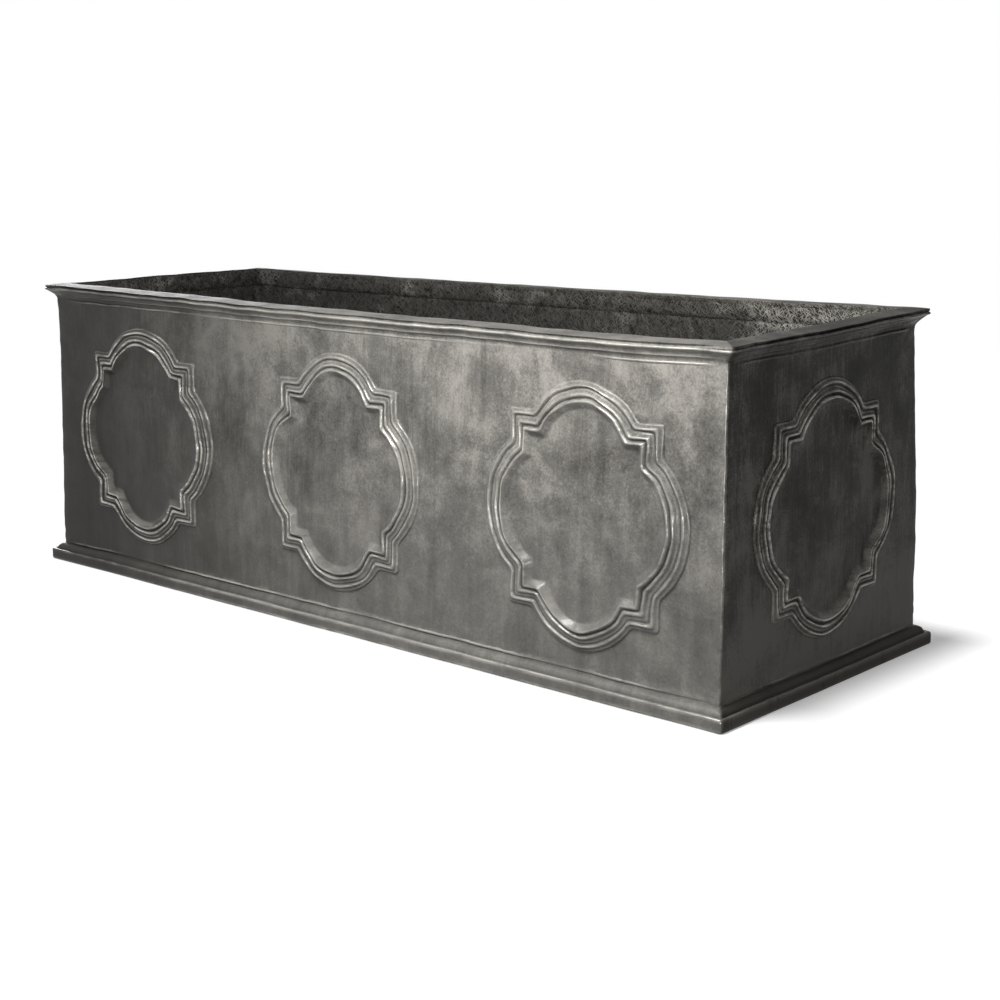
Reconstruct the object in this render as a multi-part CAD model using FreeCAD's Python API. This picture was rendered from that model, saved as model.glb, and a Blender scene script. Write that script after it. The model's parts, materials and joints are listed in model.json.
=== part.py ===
import FreeCAD, Part
import math
import os

from FreeCAD import Placement, Rotation, Vector

# A trough planter of glass-fibre panels with a lead-look face, in millimetres.
# X runs along the trough, -Y is the front, Z is up; the origin is under its middle, on the ground.

# Overall size: length and depth over the plinth, height to the top of the rim
overall_length = 1067.0
overall_depth = 381.0
overall_height = 356.0

# Walls: the two ends stand plumb, the front and back lean out by the batter from rim to ground
wall_thickness = 5.0
batter = 12.5

# Plinth moulding at the foot of every panel: a plain face, a small ledge and a slope up to the wall
plinth_projection = 13.0
plinth_face_height = 14.0
plinth_rounding = 2.5
plinth_step_projection = 8.5
plinth_step_height = 15.0
plinth_height = 21.0

# Rim moulding: a rounded nose over a cove, and a flat lip that returns over the inside
rim_projection = 11.0
rim_nose_height = 7.0
rim_nose_rounding = 2.0
rim_height = 19.0
lip_thickness = 5.0
lip_return = 7.0

# Half-round bead where the wall meets each moulding, and how deep the rim's cove is hollowed
bead_height = 3.5
bead_projection = 1.6
cove_hollow = 0.4

# Barbed quatrefoil frames, the same on every side, and the gaps round them
frame_gap_above = 22.0
frame_gap_beside = 38.5
frame_gap_between = 50.0
lobe_rise = 34.0
barb_side = 32.0

# Frame moulding, from its outer edge inwards: three ridges, two grooves and an inner slope
outer_ridge_inset = 5.8
outer_ridge_height = 4.3
outer_groove_inset = 8.2
outer_groove_height = 2.6
middle_ridge_inset = 14.7
middle_ridge_height = 5.4
inner_groove_inset = 17.2
inner_groove_height = 3.2
inner_ridge_inset = 20.4
inner_ridge_height = 6.0
frame_band = 29.0
frame_root = 1.0

# Rim stiffener: a glassed-over strip under the lip, inside each panel
stiffener_thickness = 6.0
stiffener_height = 20.0

# Glass-mat angles that bond the panels to each other and to the floor
bond_thickness = 3.0
bond_leg = 45.0
bond_fillet = 10.0

# Floor with its drain holes, and the timber bearers under it
floor_thickness = 6.0
floor_fit = 0.3
ground_gap = 6.0
drain_radius = 10.0
drain_inset_x = 170.0
drain_inset_y = 80.0
bearer_count = 3
bearer_width = 45.0
bearer_height = 18.0
bearer_inset = 110.0


def lean(z):
    """How far the front and back walls stand out at height z, past their reach at the rim."""
    return batter * (1 - z / overall_height)


# Worked-out levels and reaches that several pieces share
wall_reach_x = overall_length / 2 - plinth_projection
wall_reach_y = overall_depth / 2 - plinth_projection - lean(plinth_rounding)
floor_bottom = ground_gap + bearer_height
floor_top = floor_bottom + floor_thickness
lip_bottom = overall_height - lip_thickness
bond_top = lip_bottom - stiffener_height
plinth_top = plinth_height + bead_height
rim_foot = overall_height - rim_height - bead_height
wall_height = rim_foot - plinth_top
overrun = plinth_projection


class Side:
    """One side of the trough, drawn as if it faced -Y and then turned about Z into place."""

    def __init__(self, name, turn, leans):
        self.name = name
        self.turn = turn
        self.leans = leans
        self.reach = wall_reach_y if leans else wall_reach_x
        self.half_run = wall_reach_x if leans else wall_reach_y

    def face_y(self, z, out):
        """Y of a surface that stands out from the wall's outer face at height z."""
        return -(self.reach + (lean(z) if self.leans else 0) + out)

    def end_x(self, z, out):
        """Half the run of that surface, up to the mitre with the next side."""
        return self.half_run + (0 if self.leans else lean(z)) + out

    def place(self, shape):
        shape.rotate(Vector(0, 0, 0), Vector(0, 0, 1), self.turn)
        return shape


sides = [
    Side("front", 0, True),
    Side("right", 90, False),
    Side("back", 180, True),
    Side("left", 270, False),
]


def quad_solid(corners_at, low, high):
    """Flat-faced solid between two four-cornered outlines, one at each height."""
    lower, upper = [[Vector(x, y, z) for x, y in corners_at(z)] for z in (low, high)]
    loops = [lower, upper]
    for first in range(4):
        second = (first + 1) % 4
        loops.append([lower[first], lower[second], upper[second], upper[first]])
    faces = [Part.Face(Part.makePolygon(loop, True)) for loop in loops]
    return Part.makeSolid(Part.makeShell(faces))


def mitre_block(side):
    """The space of one side between its two mitres: outlines narrow inwards at 45 degrees."""
    outside = plinth_projection + overrun
    inside = -(wall_thickness + bond_leg + overrun)

    def corners_at(z):
        outer_x, inner_x = side.end_x(z, outside), side.end_x(z, inside)
        outer_y, inner_y = side.face_y(z, outside), side.face_y(z, inside)
        return [(-outer_x, outer_y), (outer_x, outer_y), (inner_x, inner_y), (-inner_x, inner_y)]

    return quad_solid(corners_at, -overrun, overall_height + overrun)


def mitred_strip(side, outline):
    """Extrude an outline of (out, z) points and three-point arcs along a side and mitre its ends."""

    def at(point):
        out, z = point
        return Vector(-overall_length, side.face_y(z, out), z)

    edges = []
    for points in outline:
        if len(points) == 2:
            edges.append(Part.LineSegment(at(points[0]), at(points[1])).toShape())
        else:
            edges.append(Part.Arc(*[at(point) for point in points]).toShape())
    prism = Part.Face(Part.Wire(edges)).extrude(Vector(2 * overall_length, 0, 0))
    return prism.common(mitre_block(side))


def line_loop(points):
    """Closed run of straight stretches through the points."""
    return [[start, end] for start, end in zip(points, points[1:] + points[:1])]


def hollow(start, end, corner):
    """Concave arc from start to end, drawn towards the corner that it hollows out."""
    middle = [(a + b) / 2 for a, b in zip(start, end)]
    through = [m + cove_hollow * (c - m) for m, c in zip(middle, corner)]
    return [start, through, end]


def quarter_round(start, end, corner):
    """Convex quarter round from start to end, inside their square corner."""
    pull = math.sqrt(2) - 1
    middle = [(a + b) / 2 for a, b in zip(start, end)]
    through = [m + pull * (c - m) for m, c in zip(middle, corner)]
    return [start, through, end]


def bead(foot):
    """Half-round bead on the wall face, up from its foot."""
    return [(0, foot), (bead_projection, foot + bead_height / 2), (0, foot + bead_height)]


def panel_outline():
    """Section of a panel: plinth, wall, cove, nose and lip, with a flat inside face."""
    foot_edge = plinth_projection - plinth_rounding
    shoulder = plinth_face_height - plinth_rounding
    nose_edge = rim_projection - rim_nose_rounding
    nose_foot = overall_height - rim_nose_height
    nose_middle = overall_height - rim_nose_height / 2
    cove_foot = overall_height - rim_height
    inside, lip_edge = -wall_thickness, -wall_thickness - lip_return
    step = (plinth_step_projection, plinth_step_height)
    return [
        [(inside, 0), (foot_edge, 0)],
        quarter_round((foot_edge, 0), (plinth_projection, plinth_rounding), (plinth_projection, 0)),
        [(plinth_projection, plinth_rounding), (plinth_projection, shoulder)],
        quarter_round((plinth_projection, shoulder), (foot_edge, plinth_face_height),
                      (plinth_projection, plinth_face_height)),
        [(foot_edge, plinth_face_height), step],
        [step, (0, plinth_height)],
        bead(plinth_height),
        [(0, plinth_top), (0, rim_foot)],
        bead(rim_foot),
        hollow((0, cove_foot), (nose_edge, nose_foot), (0, nose_foot)),
        [(nose_edge, nose_foot), (rim_projection, nose_middle), (nose_edge, overall_height)],
        [(nose_edge, overall_height), (lip_edge, overall_height)],
        [(lip_edge, overall_height), (lip_edge, lip_bottom)],
        [(lip_edge, lip_bottom), (inside, lip_bottom)],
        [(inside, lip_bottom), (inside, 0)],
    ]


def frame_size():
    """The largest frame that keeps its gaps on the wall's height and on the ends' width."""
    end_width = 2 * (wall_reach_y + lean(plinth_top + wall_height / 2))
    return min(wall_height - 2 * frame_gap_above, end_width - 2 * frame_gap_beside)


def frame_outline(inset, lift):
    """Quatrefoil outline set in by the inset: a lobe and a square barb for each quarter."""
    half = frame_size() / 2
    chord = half - lobe_rise - barb_side
    lobe_radius = (chord ** 2 + lobe_rise ** 2) / (2 * lobe_rise)
    lobe_centre = half - lobe_radius
    radius = lobe_radius - inset
    corner = half - lobe_rise - inset
    spring = math.sqrt(radius ** 2 - (corner - lobe_centre) ** 2)
    crown = lobe_centre + radius
    edges = []
    for quarter in range(4):
        turn = Rotation(Vector(0, 0, 1), -90 * quarter)
        lobe_start, lobe_top, lobe_end, barb_tip, barb_end = [
            turn.multVec(Vector(u, v, lift))
            for u, v in [(-spring, corner), (0, crown), (spring, corner), (corner, corner), (corner, spring)]
        ]
        edges.append(Part.Arc(lobe_start, lobe_top, lobe_end).toShape())
        edges.append(Part.LineSegment(lobe_end, barb_tip).toShape())
        edges.append(Part.LineSegment(barb_tip, barb_end).toShape())
    return Part.Wire(edges)


def frame_ring():
    """Raised frame lying in the XY plane: its moulding carried round the outline, rooted in the wall."""
    section = [
        (0, -frame_root),
        (0, 0),
        (outer_ridge_inset, outer_ridge_height),
        (outer_groove_inset, outer_groove_height),
        (middle_ridge_inset, middle_ridge_height),
        (inner_groove_inset, inner_groove_height),
        (inner_ridge_inset, inner_ridge_height),
        (frame_band, 0),
        (frame_band, -frame_root),
    ]
    wires = [frame_outline(inset, lift) for inset, lift in section]
    return Part.makeLoft(wires, True, True, True)


def frame_places(side):
    """Distances along a side at which its frames are centred: as many as keep the gap between them."""
    size = frame_size()
    run = 2 * side.half_run - 2 * frame_gap_beside
    count = max(1, int((run + frame_gap_between) // (size + frame_gap_between)))
    if count == 1:
        return [0]
    pitch = (run - size) / (count - 1)
    return [(index - (count - 1) / 2) * pitch for index in range(count)]


def panel(side):
    """One moulded panel with its rim, plinth and frames in one piece, mitred at both ends."""
    solid = mitred_strip(side, panel_outline())
    middle = plinth_top + wall_height / 2
    tilt = math.degrees(math.atan2(batter, overall_height)) if side.leans else 0
    for along in frame_places(side):
        upright = Rotation(Vector(1, 0, 0), 90 - tilt)
        ring = frame_ring()
        ring.Placement = Placement(Vector(along, side.face_y(middle, 0), middle), upright)
        solid = solid.fuse(ring)
    return side.place(solid.removeSplitter())


def rim_stiffener(side):
    """Strip bonded under the lip against the inside of a panel."""
    back, front = -wall_thickness, -wall_thickness - stiffener_thickness
    section = [(back, bond_top), (front, bond_top), (front, lip_bottom), (back, lip_bottom)]
    return side.place(mitred_strip(side, line_loop(section)))


def floor_bond(side):
    """Glass-mat angle along the foot of a panel, lapping the wall and the floor."""
    back = -wall_thickness
    face = back - bond_thickness
    upper = floor_top + bond_thickness
    wall_lap = (face, upper + bond_fillet)
    floor_lap = (face - bond_fillet, upper)
    outline = [
        [(back, floor_top), (back, floor_top + bond_leg)],
        [(back, floor_top + bond_leg), (face, floor_top + bond_leg)],
        [(face, floor_top + bond_leg), wall_lap],
        quarter_round(wall_lap, floor_lap, (face, upper)),
        [floor_lap, (back - bond_leg, upper)],
        [(back - bond_leg, upper), (back - bond_leg, floor_top)],
        [(back - bond_leg, floor_top), (back, floor_top)],
    ]
    return side.place(mitred_strip(side, outline))


def inside_block(inset, low, high):
    """The space inside the walls, set in from their outer faces, between two heights."""

    def corners_at(z):
        x, y = wall_reach_x - inset, wall_reach_y + lean(z) - inset
        return [(-x, -y), (x, -y), (x, y), (-x, y)]

    return quad_solid(corners_at, low, high)


def corner_bonds():
    """Glass-mat angles up the four inside corners, from the floor bonds to the rim stiffeners."""
    low, high = floor_top + bond_leg, bond_top
    lining = inside_block(wall_thickness, low, high)
    lining = lining.cut(inside_block(wall_thickness + bond_thickness, low - overrun, high + overrun))
    clear_x = wall_reach_x - wall_thickness - bond_leg

    def middle_of_ends(z):
        y = wall_reach_y + lean(z) - wall_thickness - bond_leg
        return [(-overall_length, -y), (overall_length, -y), (overall_length, y), (-overall_length, y)]

    def middle_of_sides(z):
        return [(-clear_x, -overall_depth), (clear_x, -overall_depth),
                (clear_x, overall_depth), (-clear_x, overall_depth)]

    for gap in (middle_of_ends, middle_of_sides):
        lining = lining.cut(quad_solid(gap, low - overrun, high + overrun))
    bonds = {}
    for solid in lining.Solids:
        centre = solid.CenterOfMass
        name = ("front" if centre.y < 0 else "back") + ("_left" if centre.x < 0 else "_right")
        bonds[name] = solid
    return bonds


def floor_panel():
    """Floor sheet cut to the inside of the walls, with a drain hole near each corner."""
    sheet = inside_block(wall_thickness + floor_fit, floor_bottom, floor_top)
    for x_sign in (-1, 1):
        for y_sign in (-1, 1):
            x = x_sign * (wall_reach_x - drain_inset_x)
            y = y_sign * (wall_reach_y - drain_inset_y)
            hole = Part.makeCylinder(drain_radius, floor_thickness + 2 * overrun,
                                     Vector(x, y, floor_bottom - overrun))
            sheet = sheet.cut(hole)
    return sheet


def floor_bearers():
    """Timber bearers under the floor, cut to fit between the front and back panels."""
    bearers = []
    last = wall_reach_x - bearer_inset
    for index in range(bearer_count):
        x = -last + 2 * last * index / (bearer_count - 1)
        slot = Part.makeBox(bearer_width, 2 * overall_depth, bearer_height,
                            Vector(x - bearer_width / 2, -overall_depth, ground_gap))
        bearers.append(inside_block(wall_thickness, ground_gap, floor_bottom).common(slot))
    return bearers


def build():
    """All the pieces of the trough, by name."""
    pieces = {}
    for side in sides:
        panel_name = side.name + ("_panel" if side.leans else "_end_panel")
        pieces[panel_name] = panel(side)
        pieces["rim_stiffener_" + side.name] = rim_stiffener(side)
        pieces["floor_bond_" + side.name] = floor_bond(side)
    for name, solid in corner_bonds().items():
        pieces["corner_bond_" + name] = solid
    pieces["floor_panel"] = floor_panel()
    for number, solid in enumerate(floor_bearers(), 1):
        pieces[f"floor_bearer_{number}"] = solid
    return pieces


os.makedirs("parts", exist_ok=True)
for name, shape in build().items():
    solid = shape.Solids[0]
    box = solid.BoundBox
    solid.exportStep(f"parts/{name}.step")
    print(f"{name}: {len(shape.Solids)} solid, valid {solid.isValid()}, {solid.Volume / 1000:.1f} cm3, "
          f"{box.XLength:.1f} x {box.YLength:.1f} x {box.ZLength:.1f}")
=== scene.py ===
import functools
import json
import math

import bmesh
import bpy
import numpy as np
from mathutils import Matrix, Vector


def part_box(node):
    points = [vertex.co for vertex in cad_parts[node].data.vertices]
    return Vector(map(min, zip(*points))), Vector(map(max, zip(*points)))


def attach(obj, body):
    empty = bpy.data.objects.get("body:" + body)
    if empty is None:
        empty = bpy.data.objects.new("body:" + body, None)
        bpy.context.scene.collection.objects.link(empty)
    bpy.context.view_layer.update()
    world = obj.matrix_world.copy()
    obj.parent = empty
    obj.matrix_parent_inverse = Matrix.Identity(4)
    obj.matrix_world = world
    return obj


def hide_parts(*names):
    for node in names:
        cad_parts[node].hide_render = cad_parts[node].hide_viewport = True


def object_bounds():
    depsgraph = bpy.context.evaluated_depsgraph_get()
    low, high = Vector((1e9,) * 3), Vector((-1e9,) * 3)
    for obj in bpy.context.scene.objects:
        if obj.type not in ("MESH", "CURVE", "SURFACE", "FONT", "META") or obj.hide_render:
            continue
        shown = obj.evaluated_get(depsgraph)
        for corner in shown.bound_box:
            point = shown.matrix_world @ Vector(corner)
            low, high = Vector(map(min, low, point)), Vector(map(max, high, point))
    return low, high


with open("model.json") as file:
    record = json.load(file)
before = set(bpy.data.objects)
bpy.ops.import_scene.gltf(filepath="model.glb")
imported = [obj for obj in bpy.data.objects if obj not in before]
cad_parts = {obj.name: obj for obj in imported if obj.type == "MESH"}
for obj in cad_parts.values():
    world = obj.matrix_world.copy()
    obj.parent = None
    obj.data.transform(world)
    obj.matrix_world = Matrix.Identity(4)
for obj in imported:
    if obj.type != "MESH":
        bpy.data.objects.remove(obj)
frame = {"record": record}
cad_low, cad_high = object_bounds()

# The four panels
# Each is hand-laid glass fibre with a lead-look face, lifted from one mould with its rim, plinth and
# quatrefoil frames in one piece. The panels meet in mitres at the corners and are bonded there.
# Sizes are in millimetres. Wear runs from -1, blackened, to 1, rubbed bare. The same wear also carries
# painted shade on the rim's flat top and towards the left of the rim and plinth, and painted highlights on
# the inner slopes of the frames.
mm = 0.001
half_length = cad_high.x / mm
half_depth = cad_high.y / mm
height = cad_high.z / mm
wall_thickness = 5.0
batter = 12.5
plinth_projection = 13.0
plinth_face_height = 14.0
plinth_rounding = 2.5
plinth_ledge_out = 8.4
plinth_ledge_height = 12.9
plinth_height = 21.0
plinth_slope_black = -0.26
end_plinth_black = -0.45
rim_projection = 11.0
rim_height = 19.0
rim_nose_low = 8.4
rim_nose_high = 4.1
rim_nose_root = 8.6
rim_groove_out = 8.4
rim_groove_depth = 1.0
rim_flat_out = 10.6
rim_flat_fall = 1.8
# The rim's flat top is darkened in the wear scale, which is painted shade.
rim_flat_painted_shade = -0.45
rim_line_height = 14.0
rim_line_out = 3.6
rim_line_size = 0.6
rim_line_pull = 0.7
lip_thickness = 5.0
lip_return = 7.0
lip_rounding = 1.5
bead_height = 3.5
bead_projection = 1.6
plinth_slope_pull = 0.3
rim_cove_pull = 0.3
round_pull = math.sqrt(2) - 1
arris_radius = 4.0
inside_corner_radius = 0.5
arris_steps = 4
plinth_top = plinth_height + bead_height
rim_foot = height - rim_height - bead_height
lip_bottom = height - lip_thickness
inside = -wall_thickness
lip_edge = -wall_thickness - lip_return


def lean(z):
    """How far the front and back walls stand out at height z, past their reach at the rim."""
    return batter * (1 - z / height)


wall_reach_x = half_length - plinth_projection
wall_reach_y = half_depth - plinth_projection - lean(plinth_rounding)
turn_of_side = {"front": 0, "right": 90, "back": 180, "left": 270}
leaning_sides = ("front", "back")


def turned(side, along, across, z):
    """Points worked out as if the side faced -Y, turned about Z to where the side stands."""
    angle = math.radians(turn_of_side[side])
    x = along * math.cos(angle) - across * math.sin(angle)
    y = along * math.sin(angle) + across * math.cos(angle)
    return np.stack(np.broadcast_arrays(x, y, z), axis=-1)


def wall_run(side, z):
    """Half the width of a side's wall at height z, up to the corner."""
    return wall_reach_x + 0 * z if side in leaning_sides else wall_reach_y + lean(z)


def wall_reach(side, z):
    """Distance from the trough's middle to a side's wall at height z."""
    return wall_reach_y + lean(z) if side in leaning_sides else wall_reach_x + 0 * z


def on_side(side, share, corner_angle, out, z, rounding):
    """Points of a side: share runs along it from -1 to 1, out is the distance from the wall's face, and
    corner_angle goes round the corner's rounding as far as the mitre, at 45 degrees."""
    along = share * (wall_run(side, z) + out - rounding) + rounding * np.sin(corner_angle)
    across = -(wall_reach(side, z) + out - rounding * (1 - np.cos(corner_angle)))
    return turned(side, along, across, z)


def line(start, end, steps):
    """Evenly spaced points from start to end."""
    return np.linspace(start, end, steps + 1)


def bend(start, corner, end, pull, steps=5):
    """Parabola from start to end, with its middle drawn towards the corner by the share pull."""
    start, corner, end = (np.array(point, float) for point in (start, corner, end))
    middle = (start + end) / 2
    control = middle + 2 * pull * (corner - middle)
    t = np.linspace(0, 1, steps + 1)[:, None]
    return (1 - t) ** 2 * start + 2 * t * (1 - t) * control + t ** 2 * end


def chain(*runs):
    """Runs of points joined end to end."""
    return np.vstack([run[:-1] for run in runs] + [runs[-1][-1:]])


def bead(foot):
    """Half-round bead on the wall's face, up from its foot."""
    return bend((0, foot), (bead_projection, foot + bead_height / 2), (0, foot + bead_height), 1)


def plinth_section():
    """Section of the foot, as (out, z): from the inside edge along the ground, up a plain face, over a sunk
    ledge and up a rounded slope to the wall."""
    foot_edge = plinth_projection - plinth_rounding
    shoulder = plinth_face_height - plinth_rounding
    ledge = (plinth_ledge_out, plinth_ledge_height)
    return chain(
        line((inside, 0), (foot_edge, 0), 3),
        bend((foot_edge, 0), (plinth_projection, 0), (plinth_projection, plinth_rounding), round_pull, 4),
        line((plinth_projection, plinth_rounding), (plinth_projection, shoulder), 4),
        bend((plinth_projection, shoulder), (plinth_projection, plinth_face_height),
             (foot_edge, plinth_face_height), round_pull, 4),
        line((foot_edge, plinth_face_height), ledge, 3),
        bend(ledge, (plinth_ledge_out, plinth_height), (0, plinth_height), plinth_slope_pull, 9),
        bead(plinth_height),
    )


def rim_section():
    """Section of the rim, as (out, z): bead, cove with a fine line in it, nose, groove, flat top and lip,
    and down the inside."""
    cove_foot = height - rim_height
    line_middle = height - rim_line_height
    line_low = (rim_line_out - rim_line_size, line_middle - rim_line_size)
    line_high = (rim_line_out + rim_line_size, line_middle + rim_line_size)
    nose_low = (rim_nose_root, height - rim_nose_low)
    nose_high = (rim_groove_out, height - rim_nose_high)
    nose_tip = (rim_projection, height - (rim_nose_low + rim_nose_high) / 2)
    flat_edge = (rim_flat_out, height - rim_flat_fall)
    groove = (rim_groove_out - rim_groove_depth, (nose_high[1] + flat_edge[1]) / 2)
    lip_top = height - lip_rounding
    return chain(
        bead(rim_foot),
        bend((0, cove_foot), (0, line_low[1]), line_low, rim_cove_pull, 4),
        bend(line_low, (line_high[0], line_low[1]), line_high, rim_line_pull, 4),
        bend(line_high, (line_high[0], nose_low[1]), nose_low, rim_cove_pull, 4),
        bend(nose_low, nose_tip, nose_high, 1, 8),
        bend(nose_high, (groove[0], nose_high[1]), groove, round_pull, 2),
        bend(groove, (groove[0], flat_edge[1]), flat_edge, round_pull, 2),
        line(flat_edge, (lip_edge + lip_rounding, height), 5),
        bend((lip_edge + lip_rounding, height), (lip_edge, height), (lip_edge, lip_top), round_pull, 3),
        line((lip_edge, lip_top), (lip_edge, lip_bottom), 2),
        line((lip_edge, lip_bottom), (inside, lip_bottom), 3),
        line((inside, lip_bottom), (inside, 0), 26),
    )


def wear_of(section, spread=1.2):
    """How rubbed a section is at each point: its turn there, outward turns above zero and hollows below,
    spread along the section by a bell curve in millimetres and squeezed to between -1 and 1."""
    step = np.diff(section, axis=0)
    heading = np.unwrap(np.arctan2(step[:, 1], step[:, 0]))
    turn = np.concatenate([[0], np.diff(heading), [0]])
    along = np.concatenate([[0], np.cumsum(np.hypot(step[:, 0], step[:, 1]))])
    bell = np.exp(-0.5 * ((along[:, None] - along[None, :]) / spread) ** 2)
    return np.tanh(bell @ turn)


# Quatrefoil frames: four lobes with a square barb between each two, and a reeded moulding round them
frame_gap_above = 22.0
frame_gap_beside = 38.5
frame_gap_between = 50.0
lobe_rise = 34.0
barb_side = 32.0
frame_band = 29.0
frame_section = [
    # three ridges, the first two with a long hollow outer face from a thin fillet, then the inner slope
    (0, 0), (0.9, 1.9), (1.8, 2.3), (3.2, 2.7), (5.0, 4.3), (5.9, 4.6), (6.8, 3.8), (8.3, 2.2), (9.5, 2.9),
    (10.4, 3.3), (12.0, 3.6), (13.9, 5.3), (14.8, 5.6), (15.7, 4.7), (17.3, 2.9), (18.8, 5.0), (19.8, 6.0),
    (20.8, 6.0), (27.2, 0.5), (29, 0),
]
frame_placing = {
    # how far each frame stands right of and above its place, and how much wider and taller it is
    "front": [(7.0, -0.8, 3.0, 1.5), (5.5, -1.3, -9.0, 2.7), (4.5, -2.2, -9.0, 4.4)],
    "right": [(-1.0, -1.5, -16.0, -7.0)],
}
frame_softness = 0.28
frame_wave = 36.0
frame_shift = 0.5
frame_swell = 0.12
frame_wear = 0.24
frame_wear_spread = 0.6
frame_hollow = -0.5
frame_slope = 21.5
# The inner slopes are rubbed brighter where they face up and to one side, which is a painted highlight.
slope_rub_and_highlight = (0.10, 0.42)
long_slope_highlight_facing = (0.42, 0.91)
end_slope_highlight_facing = (-0.6, 0.8)
band_edge_fade = 0.3
frame_squeeze = 0.05
arris_rub = 0.3
arris_reach = 6.0
lobe_points = 52
barb_points = 14
side_points = lobe_points + 2 * barb_points
band_rings = 60
field_rings = 8
field_start = 0.02
wall_rings = 9
wall_ring_growth = 1.3
fine_step = 0.1
section_margin = 3
corner_passes = 3
frame_half = min(rim_foot - plinth_top - 2 * frame_gap_above,
                 2 * (wall_reach_y + lean((rim_foot + plinth_top) / 2)) - 2 * frame_gap_beside) / 2
frame_middle = (plinth_top + rim_foot) / 2


def frame_outline(inset):
    """Quatrefoil outline set in by the inset, as (u, v) from its centre, clockwise from the top left barb.
    Each quarter is half a barb, a lobe on a circle and half a barb, turned by 90 degrees from the last.
    Each point is then drawn towards its neighbours a few times, which rounds the corners."""
    chord = frame_half - lobe_rise - barb_side
    lobe_radius = (chord ** 2 + lobe_rise ** 2) / (2 * lobe_rise)
    lobe_centre = frame_half - lobe_radius
    radius = lobe_radius - inset
    corner = frame_half - lobe_rise - inset
    half_angle = math.acos((corner - lobe_centre) / radius)
    spring = radius * math.sin(half_angle)
    angle = np.linspace(-half_angle, half_angle, lobe_points + 1)
    lobe = np.column_stack([radius * np.sin(angle), lobe_centre + radius * np.cos(angle)])
    top = chain(line((-corner, corner), (-spring, corner), barb_points), lobe,
                line((spring, corner), (corner, corner), barb_points))[:-1]
    right = np.column_stack([top[:, 1], -top[:, 0]])
    outline = np.vstack([top, right, -top, -right])
    for _ in range(corner_passes):
        outline = (np.roll(outline, 1, axis=0) + 2 * outline + np.roll(outline, -1, axis=0)) / 4
    return outline


def frame_height(inset):
    """Height of the moulding at an inset from its outer edge: its section, softened by a bell curve."""
    fine = np.arange(-section_margin, frame_band + section_margin, fine_step)
    knots = np.array(frame_section)
    raw = np.interp(fine, knots[:, 0], knots[:, 1])
    bell = np.exp(-0.5 * ((inset[:, None] - fine[None, :]) / frame_softness) ** 2)
    lift = (bell @ raw) / bell.sum(axis=1)
    return np.where((inset <= 0) | (inset >= frame_band), 0.0, lift)


def frame_shares(side):
    """Where a side's frames stand: their centres, and the bounds of their cells as shares of its width."""
    run = wall_run(side, frame_middle)
    free = 2 * wall_run(side, height) - 2 * frame_gap_beside
    count = max(1, int((free + frame_gap_between) // (2 * frame_half + frame_gap_between)))
    if count == 1:
        return [0.0], [-1.0, 1.0]
    pitch = (free - 2 * frame_half) / (count - 1)
    centres = [(index - (count - 1) / 2) * pitch for index in range(count)]
    inner = [(first + second) / 2 / (run - arris_radius) for first, second in zip(centres, centres[1:])]
    return centres, [-1.0, *inner, 1.0]


def cell_edge(side, centre, low_share, high_share):
    """The straight edges of a frame's cell of wall, as (u, v) from the frame's middle, clockwise from the
    top left, with as many points to an edge as the quatrefoil has to a side."""
    step = np.linspace(0, 1, side_points, endpoint=False)
    across = np.concatenate([step, 0 * step + 1, 1 - step, 0 * step])
    up = np.concatenate([0 * step + 1, 1 - step, 0 * step, step])
    share = low_share + (high_share - low_share) * across
    z = plinth_top + (rim_foot - plinth_top) * up
    return np.column_stack([share * (wall_run(side, z) - arris_radius) - centre, z - frame_middle])


def moulding_wear(side, section, inset, inwards):
    """Wear of the moulding at each inset, for each way inwards round its outline. The ridges are rubbed and
    the grooves black. The inner slope is rubbed brighter where it faces up and to one side, which is a
    painted highlight. The edges fade out."""
    rubbed = np.maximum(frame_wear + wear_of(section, frame_wear_spread), frame_hollow)
    wear = np.repeat(np.interp(inset, section[:, 1], rubbed)[:, None], len(inwards), axis=1)
    # Painted highlight: the inner slope is brighter the more it faces up and to one side.
    facing = np.clip(inwards @ (long_slope_highlight_facing if side in leaning_sides else end_slope_highlight_facing), 0, 1)
    wear[inset > frame_slope] = np.interp(facing, (0, 1), slope_rub_and_highlight)
    return wear * np.sin(math.pi * inset / frame_band)[:, None] ** band_edge_fade


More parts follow.
